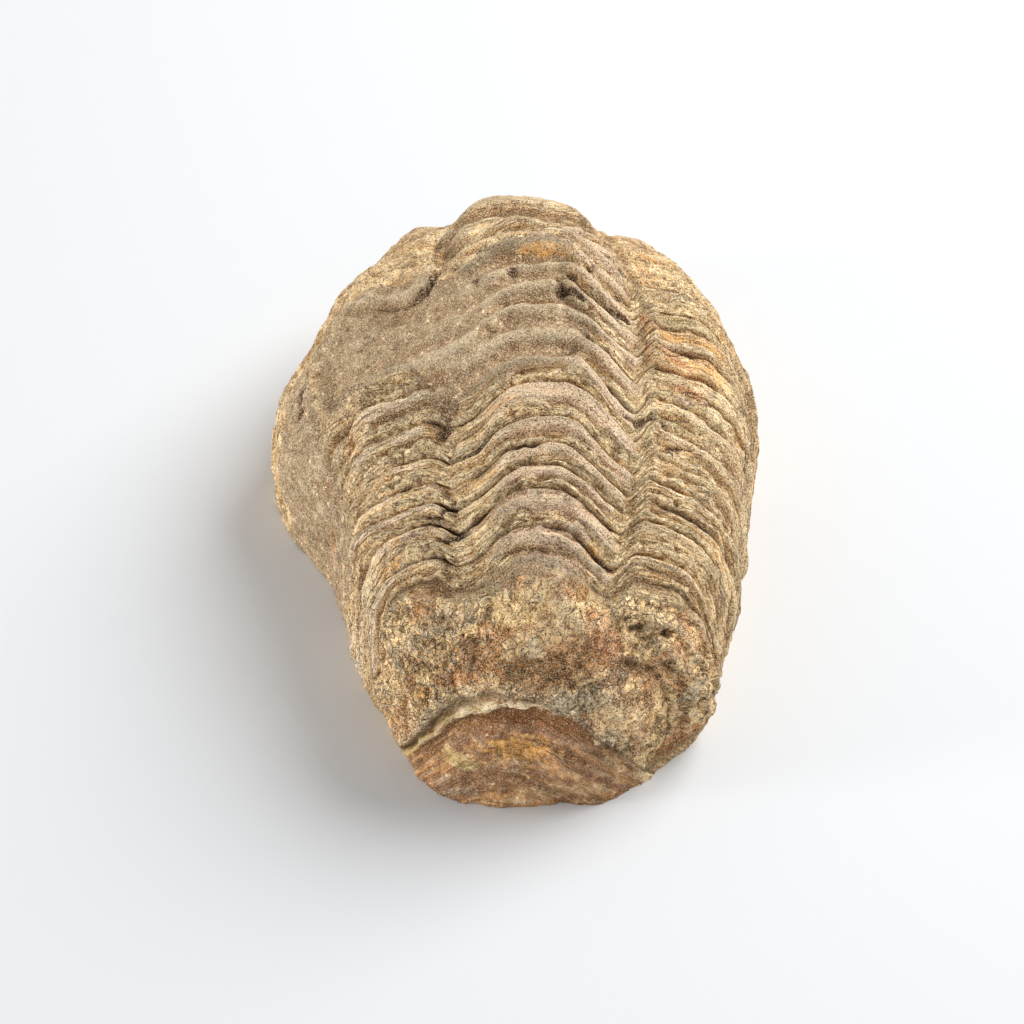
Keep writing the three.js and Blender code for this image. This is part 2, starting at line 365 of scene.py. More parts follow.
fall = np.where(from_middle < 0, np.abs(from_middle / 12.2) ** 2.8, (from_middle / 16.5) ** 2)
arch = TAIL_FACE_HEIGHT * (1 - fall)
face_top = arch + 0.5 * rough(bare, 3.5, 21) + 0.3 * rough(bare, 1.2, 22)
face = ease(0.25, -0.25, z - face_top) * ease(-20, -30, y)
inner_face = ease(0.25, -0.25, z - face_top + 1.9 * (1 - ease(0, 6, x)) + 0.3 * rough(bare, 1.8, 23))
face_depth = (0.7 + 0.9 * inner_face) * (1 - 0.85 * ease(2, 9, x))
face_depth = face_depth + (0.2 + 1.0 * (1 - ease(4, 10, np.abs(x - 1))) - face_depth) * ease(6, 1, z)
relief -= face * face_depth * (1 - ease(12.5, 16, np.abs(x)))

# The head, folded down over the far end: a worn middle lobe, two cheeks with eyes, and a rim.
away = np.abs(x - 1.5)
worn = away / (8.4 - 2.8 * ease(32, 50, along))
relief += 0.3 * ridge(along, 30, 1.3) * (1 - ease(8, 10.5, away))
relief += 1.6 * (1 - ease(0.7, 1.15, worn)) * ease(31.5, 33.5, along) * (1 - ease(44, 52, along))
notches = ridge(along, 36, 1.1) + ridge(along, 41, 1.1)
relief -= 0.6 * notches * ease(0.4, 0.75, worn) * (1 - ease(0.95, 1.2, worn))
relief += 1.3 * np.exp(-(np.hypot((away - 13.5) / 2.8, (along - 39) / 3.4) ** 3))
relief += (0.8 * ridge(z, 3.0, 1.5) - 0.6 * ridge(z, 6.0, 1.1)) * ease(27, 31, along)

# How open each joint is, from left to right: (mm across, 0 shut to 1 wide open) for each ring edge.
JOINTS = {
    -29.0: [(-24, 0.4), (-10, 0.1), (0, 0.0), (6, 0.1), (12, 0.1), (20, 0.3)],
    -25.6: [
        (-24, 0.7), (-18, 0.9), (-12, 0.6), (-6, 0.15), (0, 0.1), (4, 0.4), (6, 1), (9, 0.9), (12, 0.3),
        (20, 0.6),
    ],
    -21.2: [
        (-24, 0.6), (-16, 0.6), (-12, 1), (-9, 0.9), (-6, 0.2), (1, 0.3), (4, 0.6), (6, 1), (8, 0.9),
        (11, 0.3), (20, 0.6), (28, 0.4),
    ],
    -18.4: [
        (-26, 0.6), (-18, 0.5), (-12, 0.9), (-9, 0.6), (-5, 0.4), (-1, 0.3), (1, 0.9), (5, 1), (8, 1),
        (11, 0.3), (20, 0.6), (28, 0.4),
    ],
    -15.6: [
        (-26, 0.6), (-18, 0.5), (-12, 0.3), (-9, 0.6), (-5, 1), (0, 1), (5, 0.9), (8, 0.7), (11, 0.3),
        (22, 0.5),
    ],
    -12.3: [
        (-26, 0.6), (-20, 0.7), (-14, 0.4), (-10, 0.7), (-7, 1), (-3, 0.8), (0, 0.9), (4, 1), (8, 0.9),
        (11, 0.4), (18, 0.6), (26, 0.4),
    ],
    -7.6: [
        (-26, 0.6), (-20, 0.8), (-14, 0.5), (-10, 0.9), (-5, 1), (-2, 0.5), (1, 0.5), (4, 0.7),
        (7, 0.8), (11, 0.9), (14, 0.5), (17, 0.9), (22, 0.7), (28, 0.4),
    ],
    -3.6: [
        (-26, 0.5), (-20, 0.5), (-14, 0.2), (-6, 0.05), (0, 0.1), (2.5, 0.7), (5, 1), (9, 0.9),
        (12, 0.5), (15, 0.6), (20, 0.8), (27, 0.5),
    ],
    1.0: [
        (-26, 0.5), (-22, 0.5), (-17, 0), (1, 0), (3, 0.9), (6, 0.9), (8, 0.5), (12, 0.7), (20, 0.7),
        (28, 0.5),
    ],
    4.4: [
        (-26, 0.3), (-20, 0), (1, 0), (3, 0.3), (5, 0.9), (8, 1), (10, 0.8), (12, 0.9), (18, 0.9),
        (22, 0.5), (28, 0.4),
    ],
    8.0: [
        (-20, 0), (-2, 0), (1, 0.8), (4, 1), (9, 0.9), (11, 0.5), (14, 0.8), (20, 1), (24, 0.9),
        (30, 0.4),
    ],
    10.8: [
        (-20, 0.3), (-12, 0.1), (-5, 0.1), (-3.5, 0.4), (0, 0.5), (2.5, 0.7), (4, 0.4), (9, 0.8),
        (14, 1), (24, 0.9), (28, 0.5),
    ],
    14.2: [(-20, 0.2), (-8, 0.5), (-3, 0.7), (2, 0.3), (7, 0.6), (14, 0.5), (20, 0.4)],
    18.0: [(-10, 0.4), (-6, 0.8), (-3, 1.1), (2, 1.1), (4, 0.5), (13, 0.6), (20, 0.6), (24, 0.3)],
    22.5: [(-12, 0.8), (-6, 0.5), (0, 0.3), (4, 0.6), (8, 0.6), (20, 0.5)],
    27.5: [(-12, 0.5), (0, 0.6), (4, 1), (9, 1), (13, 0.6), (20, 0.4)],
}
open_below = np.zeros_like(across)
open_above = np.zeros_like(across)
for number, edge in enumerate(RING_EDGES):
    places, amounts = zip(*JOINTS[edge])
    broken = 0.7 + 1.0 * rough(surface, (3.2, 40, 1), 31 + number) + 0.35 * rough(surface, (1.1, 20, 1), 61)
    amount = np.interp(across, places, amounts) * np.clip(broken, 0, 1.2)
    open_below = np.where(ring == number, amount, open_below)
    open_above = np.where(ring == number - 1, amount, open_above)
mm_below = part * length
mm_above = (1 - part) * length
wide = 0.3 + 0.45 * open_above**2 * np.clip(0.5 + 1.2 * rough(surface, (2.4, 9, 1), 33), 0, 1.2)
# gap: how far each joint is cut open; the finish paints the same places dark, as shade.
gap = np.maximum(open_above * np.exp(-((mm_above / wide) ** 1.8)), open_below * ridge(mm_below, 0, 0.15))
gap = gap * thorax * foot * bare_rings * (1 - 0.75 * ridge(uneven, 1.02, 0.12) * (1 - 0.5 * left))
relief -= CRACK_DEPTH * gap

# Sand packed against the tail side of each lip: crumbly, and standing a little over the crack below it.
crumbs = 0.6 * blocks(bare, 1.15, 43) + 0.4 * blocks(bare, 2.3, 44)
ragged = 0.3 * rough(bare, 2.2, 41) + 0.3 * rough(surface, (7, 4, 1), 42)
sand_line = part - 0.12 * flank + ragged - 0.25 * worn_left * axial * ease(0.3, 0.6, reach)
packed = thorax * (1 - ease(0.2, 0.42, sand_line))
packed = np.maximum(packed, thorax * worn_low * axial * ease(0.68, 0.8, part + ragged))
packed = packed * bare_rings * (1 - bars) * (1 - 0.6 * ease(0.7, 1.0, lean))
filled = thorax * bare_rings * ridge(uneven, 1.02, 0.17) * (1 - 0.5 * left * (1 - worn_low))
packed = np.maximum(packed, 0.9 * filled * ease(-0.6, 0.1, ragged))
crumb_height = CRUMB_HEIGHT * crumbs * (1 - 0.75 * ease(1.0, 1.3, lean))
relief += packed * foot * (0.05 + crumb_height) * ease(0, 0.04, part)
overhang = packed * open_below * np.exp(-((mm_below / 0.8) ** 2)) * ease(0, 0.05, part)

# Thin broken beds that run with the joints, most of all down the flanks, each with a sharp edge.
bedded = thorax * foot * bare_rings * (1 - 0.8 * bars) * (flank + 0.7 * axial * (1 - ease(0.45, 0.65, part)))
for thick, rise, seed in ((1.5, 0.3, 45), (0.8, 0.22, 47)):
    bend = 0.4 * rough(surface, (14, 4, 1), seed) + 0.2 * rough(surface, (2.5, 1.2, 1), seed + 1)
    level = joint / thick + bend
    there = np.clip(0.6 + 1.2 * rough(surface, (9, 1.4, 1), seed + 20), 0, 1.2)
    relief += rise * bedded * there * ((1 - np.mod(level, 1)) ** 1.5 - 0.4)
relief += 0.14 * bedded * chips(surface, (8, 1.3, 1), 49, (-0.3, -0.1, 0.1, 0.3))

# Lumps and grit everywhere, softer on the shell lips.
lip_zone = ease(0.22, 0.5, part) * (1 - ease(0.92, 0.99, part)) * thorax * axial * bare_rings
relief += 0.3 * rough(bare, 5.5, 51) + 0.22 * crumble(bare, 2.4, 53) * (1 - 0.65 * lip_zone)
relief += 0.14 * crumble(bare, 0.9, 57, 2) * (1 - 0.4 * lip_zone)
relief += 0.1 * lip_zone * chips(surface, (5, 2, 1), 52, (-0.25, 0.0, 0.25))
relief += buried * (0.35 * crumble(bare, (3.0, 3.0, 5), 58) + 0.14 * chips(bare, 4.0, 55, (-0.3, 0.0, 0.3)))
relief += draped * (0.9 * rough(surface, (11, 4.5, 1), 59) + 0.2 * crumble(bare, 1.6, 60))
relief += 0.9 * np.exp(-((((across - 0.5) / 4.6) ** 2 + ((along - 13.3) / 1.9) ** 2) ** 2))
relief -= 0.3 * draped * ease(0.3, 0.5, crumble(bare, 1.6, 62))

# The crust over the tail: thin plates with broken edges, crumbs of sand on them, a few plates gone.
crust = ease(-28, -31, joint + 0.8 * edge_noise) * (1 - face) * foot
plates = crumble(bare, 6.0, 71, 4)
relief += 0.75 * (1 - face) * foot * ease(-27.6, -29.6, joint) * ease(-41, -33, joint)
relief += 0.35 * face * ease(6, 10, x)
for level in (-0.28, 0.0, 0.22):
    relief += PLATE_THICKNESS * crust * ease(level - 0.02, level + 0.02, plates)
heap = crust * ease(0.0, 0.08, crumble(bare, 6.0, 72, 5))
last_ribs = ease(9, 15, np.abs(across)) * (1 - ease(30, 33, np.abs(across)))
last_ribs = last_ribs * ease(-27, -30, joint) * ease(-43, -38, joint)
relief += 0.45 * last_ribs * ((1 - np.mod(joint / 2.6 + 0.3 * edge_noise, 1)) ** 1.5 - 0.4)
relief += (heap * (0.1 + 0.7 * crumbs) + 0.2 * crust * crumbs) * (1 - 0.6 * ease(1.0, 1.3, lean))
layer = z - arch
layers = np.mod(0.4 * layer + 0.6 * rough(bare, (8, 8, 4), 73), 1)
relief += 0.16 * face * (layers**2 - 0.3) + 0.3 * face * crumble(bare, 3.2, 75)


def line_distance(first, second, points):
    """mm from each place of the surface to a line through the points"""
    nearest = np.full(first.shape, 1e9)
    for (a0, b0), (a1, b1) in zip(points, points[1:]):
        da, db = a1 - a0, b1 - b0
        t = np.clip(((first - a0) * da + (second - b0) * db) / (da * da + db * db), 0, 1)
        nearest = np.minimum(nearest, np.hypot(first - a0 - t * da, second - b0 - t * db))
    return nearest


fold = [(-8.2, -0.9), (-12.3, -1.0), (-16.4, -0.4), (-19.3, 0.0), (-22.2, 1.8), (-24.1, 2.4)]
relief += 0.9 * ridge(line_distance(across, along, fold), 0, 1.4) * (1 - ease(-9, -7, across))

# Cracks that cross the rings or lie between them: half width, depth, then (mm across, mm along) points.
CRACKS = [
    (0.3, 0.9, [(1.2, 7.8), (2.0, 6.0), (4.3, 4.9)]),
    (0.3, 1.0, [(2.9, 8.5), (4.3, 6.1), (6.7, 5.1), (9.6, 4.9)]),
    (0.2, 0.5, [(6.5, 7.1), (8.4, 7.9), (10.0, 8.1)]),
    (0.2, 0.6, [(3.6, 9.7), (5.1, 10.0), (7.1, 11.4), (7.9, 11.5)]),
    (0.3, 0.7, [(9.3, 14.2), (14.0, 17.2), (18.3, 19.1), (22.0, 20.6)]),
    (0.2, 0.6, [(12.3, 3.4), (14.1, 3.2), (16.8, 5.2), (19.7, 5.6)]),
    (0.2, 0.5, [(14.3, -6.4), (15.6, -5.8), (17.1, -5.0)]),
    (0.2, 0.5, [(14.6, -10.4), (17.5, -9.4)]),
    (0.35, 0.8, [(8.8, -9.8), (10.1, -9.8), (12.8, -6.8), (14.0, -7.1)]),
    (0.3, 0.8, [(-14.3, -20.5), (-12.6, -21.3), (-10.8, -19.9)]),
    (0.4, 1.0, [(-11.9, -24.4), (-11.1, -24.5), (-9.3, -24.1)]),
    (0.3, 0.7, [(-12.9, 12.4), (-13.7, 10.3), (-15.5, 10.8)]),
    (0.25, 0.4, [(-15.5, 10.8), (-18.4, 12.9)]),
    (0.3, 0.4, [(-19.6, 14.6), (-21.4, 15.6)]),
    (0.35, 0.5, [(-13.0, 27.5), (-13.0, 21.0), (-12.2, 14.5)]),
    (0.25, 0.7, [(-6.3, 28.0), (-4.3, 28.6), (-1.1, 30.0), (3.2, 30.6), (6.1, 29.2), (8.0, 25.5),
                 (9.4, 22.0)]),
    (0.35, 0.8, [(1.0, 34.0), (5.5, 33.8), (9.8, 34.4), (11.6, 32.6), (13.6, 29.7), (14.2, 27.0)]),
    (0.25, 0.7, [(-34.0, 4.2), (-33.9, 2.0), (-34.5, -1.4)]),
    (1.3, 0.45, [(-7.8, 0.9), (-9.3, 1.3), (-12.1, 1.4), (-15.6, 2.2)]),
]
for half, depth, points in CRACKS:
    shape = np.exp(-((line_distance(across, along, points) / half) ** 2))
    shape = shape * np.clip(1 + 0.6 * rough(bare, 1.5, 81), 0, 1.3)
    relief -= CRACKS_WORN_TO * depth * shape
    # Narrow cracks are also painted dark as shade, through gap.
    gap = np.maximum(gap, shape * min(1, depth) * (half < 1))

# Small holes: (mm across, mm along, radius, depth).
HOLES = [
    (-4.2, 9.0, 0.7, 0.9), (-8.5, 8.2, 0.6, 0.5), (1.6, 6.0, 0.8, 0.9), (-26.7, 4.9, 0.45, 0.9),
    (-26.9, 12.9, 0.6, 0.5), (-27.6, 11.6, 0.5, 0.5), (-11.9, -9.9, 1.0, 1.0), (14.1, -34.9, 0.5, 0.8),
    (15.2, -34.6, 0.5, 0.8), (18.8, -34.8, 0.7, 0.9), (18.9, 16.0, 0.4, 0.8),
]
for middle, station, radius, depth in HOLES:
    distance = np.hypot(across - middle, along - station) * (1 + 0.3 * rough(bare, 1.0, 83))
    shape = np.exp(-((distance / radius) ** 3))
    relief -= CRACKS_WORN_TO * depth * shape
    # Holes are also painted dark as shade, through gap.
    gap = np.maximum(gap, 0.7 * shape)


def spread_out(values, rows, columns):
    """values averaged over so many rows and columns each way"""
    for axis, far in ((0, rows), (1, columns)):
        size = values.shape[axis]
        width = 2 * far + 1
        before = np.repeat(np.take(values, [0], axis), far + 1, axis)
        after = np.repeat(np.take(values, [-1], axis), far, axis)
        total = np.cumsum(np.concatenate([before, values, after], axis), axis)
        added = np.take(total, range(width, width + size), axis) - np.take(total, range(size), axis)
        values = added / width
    return values


proud = relief - spread_out(spread_out(relief, 4, 2), 3, 1)
form = bare + outward * relief[..., None]
form[..., 1] -= 0.22 * overhang
# The rim lies on the ground, and nothing else dips under it.
LEAST_HEIGHT = 0.04
form[..., 2] = np.maximum(form[..., 2], LEAST_HEIGHT)
form[0, :, 2] = form[-1, :, 2] = form[:, 0, 2] = form[:, -1, 2] = 0.0

# What the surface is made of, place by place, and where shade or a highlight is painted on it; the finish
# below reads these.
patches = crumble(bare, 6.0, 93)
made_of = {}


def also(kind, amount):
    """each point is at least so much made of the kind"""
    made_of[kind] = np.maximum(made_of[kind], amount)


shell_here = lip_zone * np.clip(ease(0, -5, joint) * ease(-9.5, -4, across) + ease(1.5, 4, across), 0, 1)
shell_here = shell_here * np.clip(0.9 + 0.6 * patches, 0, 1)
flank_lip = ease(0.5, 0.62, part) * (1 - ease(0.85, 0.98, part)) * flank * thorax * foot * (1 - buried)
shell_flank = flank_lip * np.clip(0.3 + 0.8 * patches, 0, 1) * ease(8, 4, joint) * ease(-8, 8, across)
made_of["shell"] = np.maximum(shell_here, 0.8 * shell_flank)
drift = edge_noise + 4.0 * rough(bare, 5.0, 97) * ease(-20, -26, across)
made_of["matrix"] = np.maximum(draped, 0.85 * buried * ease(-8, -12, across) * ease(12, 9, joint + drift))
made_of["sand"] = np.maximum(packed * (0.5 + 0.6 * crumbs), 0.9 * heap)
made_of["crust"] = crust
made_of["face"] = face * (1 - 0.6 * ease(10, 15, x))
# gap: painted shade in the cracks, open joints and holes.
made_of["gap"] = gap
STANDS_OUT = 0.22
# Painted shade: hollows lower than their surroundings, and the low pits among the crumbs, are darkened.
pits = 0.8 * packed * ease(0.25, 0.1, crumbs)
made_of["hollow"] = np.maximum(np.clip(-proud / STANDS_OUT, 0, 1), pits)
# Painted highlight: what stands proud of its surroundings is lightened.
made_of["proud"] = np.clip(proud / STANDS_OUT, 0, 1)

# Stains by kind: (mm across, mm along, radius across, radius along, strength).
STAINS = {
    "rust": [
        (15.5, 3.2, 2.4, 0.7, 1.0), (17.3, -0.9, 2.4, 1.2, 1.1), (12.0, 7.5, 1.4, 0.8, 1.1),
        (-23.2, -2.3, 1.2, 0.9, 0.9), (-32.5, -1.6, 1.0, 3.5, 0.9), (10.7, -37.5, 3.4, 2.3, 1.1),
        (-11.0, -38.9, 3.0, 2.6, 0.8), (-14.7, -41.4, 3.8, 1.7, 0.9), (-22.5, -39.8, 1.8, 1.6, 0.9),
        (33.6, -37.8, 2.0, 4.0, 0.8),
    ],
    "shell": [
        (16.0, -2.4, 1.6, 0.6, 1.0), (0.5, 14.4, 3.2, 0.9, 1.0), (0.9, -29.3, 4.5, 1.6, 1.0),
        (2.4, -25.7, 4.0, 1.0, 0.8), (-1.5, -35.7, 2.6, 1.2, 1.1), (1.6, -33.6, 1.4, 1.4, 1.0),
    ],
    "ochre": [
        (5.6, -31.7, 1.1, 0.9, 1.2), (-32.3, -29.5, 1.0, 4.5, 1.1), (-18.6, -22.4, 1.0, 0.8, 1.0),
        (-21.1, -25.0, 1.0, 0.9, 1.0), (15.7, 24.0, 2.4, 0.9, 0.9), (0.2, 12.1, 4.0, 0.7, 0.8),
        (6.6, 20.0, 3.0, 1.6, 0.7), (6.6, -27.3, 1.5, 1.0, 1.3), (-6.0, -10.4, 2.6, 0.5, 1.1),
        (4.0, 7.2, 0.9, 0.6, 1.2), (-21.7, -42.3, 2.2, 1.8, 1.1),
    ],
    "pale": [
        (26.6, -35.0, 0.8, 3.6, 1.0), (-1.2, -38.2, 2.0, 1.5, 0.9), (-22.3, -35.9, 0.8, 3.0, 1.0),
    ],
    "brown": [
        (-5.2, -5.7, 3.6, 1.0, 0.6), (-16.5, -5.9, 4.0, 1.1, 1.1), (-13.4, -3.7, 3.0, 1.2, 1.1),
        (-11.8, -7.8, 1.8, 2.4, 1.1), (-27.8, -1.3, 2.4, 2.8, 1.0), (-11.4, 28.0, 1.8, 3.0, 1.0),
        (-0.5, 4.2, 6.0, 0.9, 0.9), (-10.5, 1.0, 3.2, 0.9, 0.9), (-15.3, 10.0, 2.6, 1.0, 0.9),
        (-5.0, 11.5, 4.0, 1.6, 0.7),
    ],
    "heap": [
        (-4.1, -33.8, 4.6, 1.9, 1.2), (15.5, -34.8, 5.0, 2.2, 1.1), (26.5, -40.2, 3.6, 2.4, 1.2),
    ],
    "red": [
        (14.7, -39.7, 2.6, 1.5, 1.1), (13.3, -42.0, 2.8, 1.1, 0.9),
    ],
    "grey": [
        (17.5, -44.2, 5.0, 1.4, 1.0), (-12.9, -34.5, 3.2, 1.8, 1.0), (-17.5, -36.5, 2.6, 1.4, 0.9),
    ],
}
made_of["heap"] = heap
for kind in ("ochre", "rust", "red", "pale", "olive", "brown", "grey", "lilac"):
    made_of[kind] = np.zeros_like(along)
for kind, spots in STAINS.items():
    for middle, station, radius_across, radius_along, strength in spots:
        shape = ((across - middle) / radius_across) ** 2 + ((along - station) / radius_along) ** 2
        also(kind, strength * np.exp(-(shape**2)))

# The same on the broken tail end: (what, mm to the right, mm up, half width, half height, strength).
TAIL_STAINS = [
    ("pale", 6.5, 15.4, 3.6, 1.4, 1.3), ("pale", 10.5, 10.4, 1.3, 1.2, 1.3),
    ("grey", 12.5, 7.2, 2.8, 2.8, 1.1), ("red", 0.5, 13.4, 5.0, 0.9, 1.1),
    ("red", 5.8, 12.6, 3.2, 1.4, 1.1), ("red", -2.0, 11.2, 1.8, 0.8, 0.9),
    ("red", -0.6, 15.5, 2.4, 0.6, 1.1), ("ochre", 0.5, 9.5, 6.0, 2.4, 0.75),
    ("olive", -6.5, 6.0, 2.6, 1.3, 1.0), ("grey", 5.0, 2.4, 6.5, 2.2, 0.8),
    ("grey", -9.0, 9.5, 1.4, 2.4, 0.9), ("ochre", 17.5, 3.4, 2.6, 1.8, 0.9),
]
for kind, middle, height, wide, tall, strength in TAIL_STAINS:
    shape = np.exp(-((((x - middle) / wide) ** 2 + ((z - height) / tall) ** 2) ** 1.3)) * ease(-25, -32, y)
    also(kind, strength * shape)

# Stains that follow a form: the band round the tail face, the flat bars, and the ribs' crests.
band = face * (1 - inner_face)
also("olive", 0.8 * band)
also("pale", 0.6 * band * ease(-9, -6, x))
tinged = 0.6 * ease(0.2, 0.6, crumble(surface, (7, 2.5, 1), 95)) * flank * thorax
also("ochre", tinged * (1 - draped) * (1 - 0.7 * buried))
edge_of_bar = bars * ease(0.04, 0.1, part) * (1 - ease(0.94, 0.99, part))
also("olive", edge_of_bar * (joint > 8.0))
ochre_bar = edge_of_bar * (joint < 8.0) * np.where(joint > 4.4, part > 0.35, 1)
also("ochre", 1.2 * ochre_bar)
also("grey", edge_of_bar * (joint < 8.0) * (joint > 4.4) * (part < 0.3))
crest = ridge(part, 0.7, 0.16) * flank * left * thorax * (1 - draped) * (1 - 0.8 * buried)
also("lilac", 1.2 * crest * ease(-0.4, 0.2, patches))

# Where plates are gone, and the way the grain runs: with the rings, the tail face's beds, or neither.
made_of["low"] = crust * ease(-0.1, -0.16, plates) * (1 - made_of["heap"])
grain_map = np.stack([across * 0.13, joint * 2.2, z * 0.12], -1)
face_grain = np.stack([x * 0.12, layer * 0.5, np.full_like(x, 30.0)], -1)
plain = np.clip(buried + draped + crust, 0, 1)[..., None]
grain_map = grain_map + (bare * 0.9 - grain_map) * plain
grain_map = grain_map + (face_grain - grain_map) * (face > 0.5)[..., None]

# The mesh: a grid whose points move to the form.
stone_mesh = bpy.data.meshes.new("trilobite")
shaping = bmesh.new()
bmesh.ops.create_grid(shaping, x_segments=COLUMNS, y_segments=ROWS, size=1)
shaping.verts.ensure_lookup_table()
start = np.array([v.co[:2] for v in shaping.verts])
column = np.rint((start[:, 0] + 1) / 2 * COLUMNS).astype(int)
row = np.rint((start[:, 1] + 1) / 2 * ROWS).astype(int)
placed = (form[row, column] + PLACE) * MM
for vertex, point in zip(shaping.verts, placed):
    vertex.co = point


# The underside: the rim drawn in twice over the ground and closed at the middle.
def drawn_from(rim):
    """the new points and the new rim, drawn out of the edges of the old one"""
    drawn = bmesh.ops.extrude_edge_only(shaping, edges=rim)["geom"]
    points = [g for g in drawn if isinstance(g, bmesh.types.BMVert)]
    return points, [g for g in drawn if isinstance(g, bmesh.types.BMEdge) and g.is_boundary]


rim = [e for e in shaping.edges if e.is_boundary]
for shrink in (0.94, 0.55):
    inner, rim = drawn_from(rim)
    bmesh.ops.scale(shaping, vec=(shrink, shrink, 1), verts=inner)
inner, _ = drawn_from(rim)
bmesh.ops.pointmerge(shaping, verts=inner, merge_co=(0, 0, 0))
bmesh.ops.recalc_face_normals(shaping, faces=shaping.faces)
count_back = len(start)
shaping.verts.index_update()
shaping.to_mesh(stone_mesh)
shaping.free()
stone_mesh.polygons.foreach_set("use_smooth", np.ones(len(stone_mesh.polygons), bool))


def keep(name, values):
    """a value for each point of the back, 0 on the underside"""
    whole = np.zeros(len(stone_mesh.vertices), np.float32)
    whole[:count_back] = np.clip(values, 0, 2)[row, column]
    stone_mesh.attributes.new(name, "FLOAT", "POINT").data.foreach_set("value", whole)


for name, values in made_of.items():
    keep(name, values)
whole = np.zeros((len(stone_mesh.vertices), 3), np.float32)
whole[:count_back] = grain_map[row, column]
stone_mesh.attributes.new("grain", "FLOAT_VECTOR", "POINT").data.foreach_set("vector", whole.ravel())

stone = bpy.data.objects.new("trilobite", stone_mesh)
bpy.context.collection.objects.link(stone)


class Wire:
    """a value on its way through a material; sums and products add their nodes"""

    tree = None

    def __init__(self, socket):
        self.socket = socket

    @classmethod
    def node(cls, kind, settings=None, inputs=None, output=0):
        """any node: its type, its settings, and the values or wires of its sockets"""
        made = cls.tree.nodes.new(kind)
        for name, value in (settings or {}).items():
            setattr(made, name, value)
        for name, value in (inputs or {}).items():
            if isinstance(value, cls):
                cls.tree.links.new(value.socket, made.inputs[name])
            else:
                made.inputs[name].default_value = value
        return cls(made.outputs[output])

    def math(self, operation, first, second):
        return self.node("ShaderNodeMath", {"operation": operation}, {0: first, 1: second})

    def __add__(self, other):
        return self.math("ADD", self, other)

    def __sub__(self, other):
        return self.math("SUBTRACT", self, other)

    def __mul__(self, other):
        return self.math("MULTIPLY", self, other)

    def __rsub__(self, other):
        return self.math("SUBTRACT", other, self)

    __radd__ = __add__
    __rmul__ = __mul__

    def ramp(self, low, high, start=0.0, end=1.0):
        """start up to low and end from high on, smooth between; works downwards too"""
        return self.node("ShaderNodeMapRange", {"interpolation_type": "SMOOTHSTEP"},
                         {0: self, 1: low, 2: high, 3: start, 4: end})

    def paint(self, under, over):
        """over where this is 1, under where it is 0"""
        return self.node("ShaderNodeMix", {"data_type": "RGBA"}, {0: self, 6: under, 7: over}, 2)

    def tint(self, other):
        """this colour times the other"""
        settings = {"data_type": "RGBA", "blend_type": "MULTIPLY"}
        return self.node("ShaderNodeMix", settings, {0: 1.0, 6: self, 7: other}, 2)


def colour(red, green, blue):
    """an sRGB colour, 0 to 255, as the renderer's own"""
    return tuple(((c / 255 + 0.055) / 1.055) ** 2.4 for c in (red, green, blue)) + (1.0,)


material = bpy.data.materials.new("limestone")
material.use_nodes = True
Wire.tree = material.node_tree
shader = material.node_tree.nodes["Principled BSDF"]
stone_mesh.materials.append(material)

where = Wire.node("ShaderNodeTexCoord", output="Object")
where = Wire.node("ShaderNodeVectorMath", {"operation": "SCALE"}, {0: where, "Scale": 1000.0})
grain = Wire.node("ShaderNodeAttribute", {"attribute_name": "grain"}, output="Vector")


def noise(scale, detail=3.0, harsh=0.55, place=where):
    """soft noise, scale of its bumps to the mm"""
    inputs = {"Vector": place, "Scale": scale, "Detail": detail, "Roughness": harsh}
    return Wire.node("ShaderNodeTexNoise", {}, inputs, "Fac")


def mask(name):
    """how far the surface is made of the named thing"""
    return Wire.node("ShaderNodeAttribute", {"attribute_name": name}, output="Fac")


# Noise of every size, from broad clouds to single grains, and broken veins along the beds.
broad = noise(0.2, 4)
medium = noise(0.8, 4, 0.6)
small = noise(2.2, 4, 0.65)
grit = noise(6.5, 1, 0.5)
specks = noise(3.2, 2, 0.6)
streaks = noise(0.45, 5, 0.62, grain)
beds = noise(0.6, 3, 0.6, grain) - 0.5
thin_beds = noise(1.3, 2, 0.6, grain) - 0.5
thick_veins = (beds * beds).ramp(0.0012, 0.0) * medium.ramp(0.42, 0.55)
thin_veins = (thin_beds * thin_beds).ramp(0.0008, 0.0) * medium.ramp(0.58, 0.45)
veins = (thick_veins + thin_veins * 0.6) * (1.0 - mask("matrix") * 0.8) * (1.0 - mask("shell") * 0.7)
fray = (medium - 0.5) * 0.9 + (small - 0.5) * 1.2
swirl = Wire.node("ShaderNodeTexNoise", {}, {"Vector": where, "Scale": 1.1, "Detail": 3.0}, "Color")
jumble_inputs = {0: swirl, 1: (1.1, 1.1, 1.1), 2: where}
jumble = Wire.node("ShaderNodeVectorMath", {"operation": "MULTIPLY_ADD"}, jumble_inputs)


def cells(feature, scale, output):
    """a jumble of stone cells, scale of them to the mm"""
    return Wire.node("ShaderNodeTexVoronoi", {"feature": feature}, {"Vector": jumble, "Scale": scale}, output)


crumb = 1.0 - cells("F1", 1.25, "Distance") * 1.5
chinks = cells("DISTANCE_TO_EDGE", 0.8, "Distance").ramp(0.07, 0.0)
flakes = cells("F1", 0.32, "Color")


def over(under, name, paint, low=0.35, high=0.6, fray_by=1.0, most=1.0):
    """paint over the look wherever the named value is high, its edge frayed"""
    edge = (mask(name) + fray * fray_by).ramp(low, high, 0.0, most)
    return edge.paint(under, paint)


